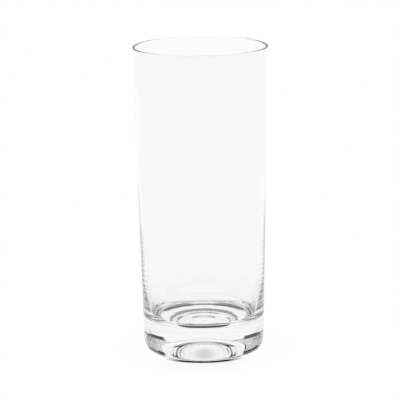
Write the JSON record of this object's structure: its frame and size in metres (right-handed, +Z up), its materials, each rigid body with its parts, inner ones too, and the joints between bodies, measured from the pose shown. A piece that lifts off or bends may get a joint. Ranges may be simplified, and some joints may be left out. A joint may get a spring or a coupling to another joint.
{
  "type": "tall tumbler",
  "caption": "Tall straight-sided drinking glass in clear glass, with a slight taper, a thin rounded rim, a thick base and a domed hollow under the foot.",
  "frame": {"origin": "centre of the foot, on the surface that the glass stands on", "axes": "+Z up along the axis of the glass, from the foot to the rim"},
  "size_m": [0.0632, 0.0632, 0.145],
  "materials": {
    "clear_glass": "clear colourless soda-lime glass, pressed and fire polished"
  },
  "bodies": {
    "root": {"tumbler_glass": "clear_glass"}
  },
  "joints": []
}
